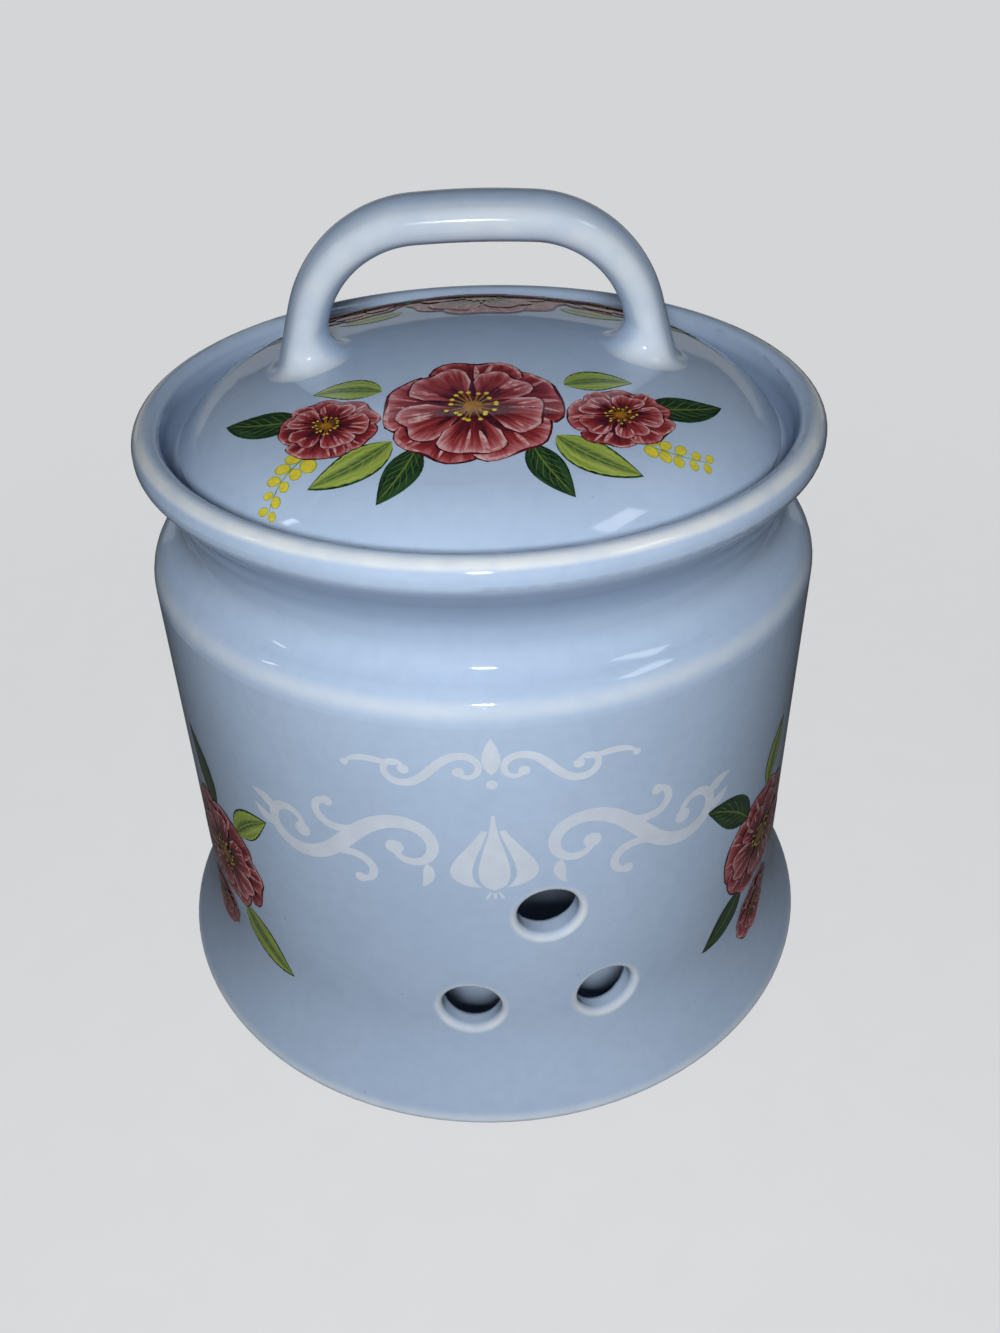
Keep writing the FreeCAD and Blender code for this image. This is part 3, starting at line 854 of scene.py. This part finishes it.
def draw_small_ornament(drawing, material):
    """The ornament above: two slender scrolls that meet under a drop."""
    inner = scroll(middle=(9.6, 0.0), turn=0.0, length=30.0, first_bend=-0.72, last_bend=0.72)
    draw_scroll(drawing, material, inner, swelling(0.7, 1.6), knobs=(0.95, 0.95))
    outer = scroll(middle=(19.5, 0.2), turn=-0.15, length=9.5, first_bend=0.12, last_bend=-0.30)
    draw_scroll(drawing, material, outer, swelling(0.4, 1.3), knobs=(0, 0.7))
    drop = leaf_shape((0, -0.6), math.pi / 2, length=7.4, width=3.0, curve=0.0)
    drawing.patch(drop, material, 1, across=4, along=12)
    drawing.patch(disc_shape((0, -2.6), 0.95), material, 1)


def add_prints():
    palette = {
        "petal": petal_colour(),
        "leaf": leaf_colour(),
        "shadow": plain_print("petal_shadow", WINE, MAROON, 500.0),
        "edge": plain_print("petal_edge", BLUSH, ROSE, 900.0),
        "dark leaf": plain_print("leaf_outline", FERN, FOREST, 500.0),
        "lime": plain_print("lime_line", LIME_PALE, LIME, 700.0),
        "yellow": plain_print("berry_yellow", YELLOW, times(YELLOW, 0.8), 900.0),
        "amber": plain_print("amber_line", AMBER, times(AMBER, 0.6), 900.0),
    }
    inks = list(palette.values())
    dice = random.Random(SEED)
    for name, turn in (("lid_front_print", 0.0), ("lid_back_print", math.pi)):
        drawing = Drawing(name, "lid", on_dome, inks)
        draw_spray(drawing, palette, offset((0, 0), turn, LID_SPRAY_PLACE), turn, dice)
        drawing.finish()
    for name, side in (("jar_left_print", -1), ("jar_right_print", 1)):
        drawing = Drawing(name, "jar", on_wall, inks)
        draw_posy(drawing, palette, (side * JAR_POSY_ALONG, JAR_POSY_HEIGHT), JAR_POSY_TURN * side, dice)
        drawing.finish()
    pale = plain_print("pale_ornament", ORNAMENT, times(ORNAMENT, 0.93), 300.0)
    for name, height, draw in (
        ("jar_main_ornament", ORNAMENT_HEIGHT, draw_main_ornament),
        ("jar_small_ornament", FLOURISH_HEIGHT, draw_small_ornament),
    ):
        drawing = Drawing(name, "jar", on_wall, [pale])
        drawing.stand((0, height))
        draw(drawing, pale)
        drawing.finish()


# ---- Stage ----------------------------------------------------------------------------------


def floor_material():
    """A pale paper floor. Far from the object it is evenly pale, as a lit backdrop would be."""
    shade = Shade("pale_floor")
    place, seen = shade.place(), shade.is_seen()
    grain = shade.noise(place, 90.0, detail=4.0)
    paper = shade.tree.nodes.new("ShaderNodeBsdfDiffuse")
    shade.put(paper.inputs["Color"], shade.mix(grain, FLOOR_PAPER, times(FLOOR_PAPER, 1.05)))
    glow = shade.emission(shade.mix(grain, FLOOR_GLOW, times(FLOOR_GLOW, 1.03)), seen)
    near = shade.tree.nodes.new("ShaderNodeAddShader")
    shade.put(near.inputs[0], paper.outputs[0])
    shade.put(near.inputs[1], glow)
    far = shade.emission(shade.mix(grain, FLOOR_FAR, times(FLOOR_FAR, 1.02)), 1.0)
    x, y, _ = shade.split(place)
    blend = shade.tree.nodes.new("ShaderNodeMixShader")
    shade.put(blend.inputs[0], shade.product(seen, shade.step(shade.reach(x, y), FLOOR_NEAR, FLOOR_EDGE)))
    shade.put(blend.inputs[1], near.outputs[0])
    shade.put(blend.inputs[2], far)
    shade.put(shade.output.inputs["Surface"], blend.outputs[0])
    return shade.material


def add_floor():
    mesh = bpy.data.meshes.new("floor")
    corners = [(x * FLOOR_HALF, y * FLOOR_HALF, 0) for x, y in ((-1, -1), (1, -1), (1, 1), (-1, 1))]
    mesh.from_pydata(corners, [], [(0, 1, 2, 3)])
    floor = bpy.data.objects.new("floor", mesh)
    bpy.context.scene.collection.objects.link(floor)
    floor.data.materials.append(floor_material())


def add_area_light(name, place, aim, size, power, colour, lights=True, mirrored=True):
    """A lamp of that size, aimed at a point. It can be one that only lights, or one that is only mirrored."""
    light = bpy.data.lights.new(name, "AREA")
    light.shape = "RECTANGLE"
    light.size, light.size_y = size
    light.energy = power
    light.color = colour
    lamp = bpy.data.objects.new(name, light)
    bpy.context.scene.collection.objects.link(lamp)
    lamp.location = place
    lamp.rotation_euler = (Vector(aim) - Vector(place)).to_track_quat("-Z", "Y").to_euler()
    lamp.visible_camera = False
    lamp.visible_diffuse = lights
    lamp.visible_glossy = mirrored


def add_lights():
    """A key just behind the camera and a weak fill. The glaze mirrors a flash, windows and a wall."""
    for lamp in LAMPS:
        add_area_light(**lamp)


def add_world():
    """A dim bluish room for the object, and a pale backdrop where the camera looks past the floor."""
    world = bpy.data.worlds.new("soft_room")
    bpy.context.scene.world = world
    world.use_nodes = True
    tree = world.node_tree
    room = tree.nodes["Background"]
    room.inputs["Color"].default_value = (*ROOM, 1)
    room.inputs["Strength"].default_value = ROOM_STRENGTH
    backdrop = tree.nodes.new("ShaderNodeBackground")
    backdrop.inputs["Color"].default_value = (*FLOOR_FAR, 1)
    seen = tree.nodes.new("ShaderNodeLightPath").outputs["Is Camera Ray"]
    blend = tree.nodes.new("ShaderNodeMixShader")
    tree.links.new(seen, blend.inputs[0])
    tree.links.new(room.outputs[0], blend.inputs[1])
    tree.links.new(backdrop.outputs[0], blend.inputs[2])
    tree.links.new(blend.outputs[0], tree.nodes["World Output"].inputs["Surface"])


def add_camera():
    cp, sp = math.cos(CAMERA_PITCH), math.sin(CAMERA_PITCH)
    ahead = Vector((math.sin(CAMERA_PAN) * cp, math.cos(CAMERA_PAN) * cp, -sp))
    level_right = ahead.cross(Vector((0, 0, 1))).normalized()
    level_up = level_right.cross(ahead)
    cr, sr = math.cos(CAMERA_ROLL), math.sin(CAMERA_ROLL)
    right = level_right * cr + level_up * sr
    up = level_up * cr - level_right * sr
    camera = bpy.data.objects.new("camera", bpy.data.cameras.new("camera"))
    bpy.context.scene.collection.objects.link(camera)
    turn = Matrix((right, up, -ahead)).transposed()
    camera.matrix_world = Matrix.Translation(CAMERA_PLACE) @ turn.to_4x4()
    camera.data.sensor_width = SENSOR_MM
    camera.data.lens = FOCAL_PX * SENSOR_MM / FRAME_HEIGHT_PX
    camera.data.clip_start = NEAREST_SEEN
    bpy.context.scene.camera = camera


def glaze_nodes():
    """Gives each CAD node its glaze."""
    glazes = {"jar": jar_glaze(), "lid": lid_glaze(), "lid_handle": handle_glaze()}
    for name, glaze in glazes.items():
        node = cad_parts[name]
        node.data.materials.clear()
        node.data.materials.append(glaze)


def main():
    add_floor()
    add_lights()
    add_world()
    add_camera()
    glaze_nodes()
    add_prints()
    bpy.context.scene.view_settings.view_transform = "Standard"


main()
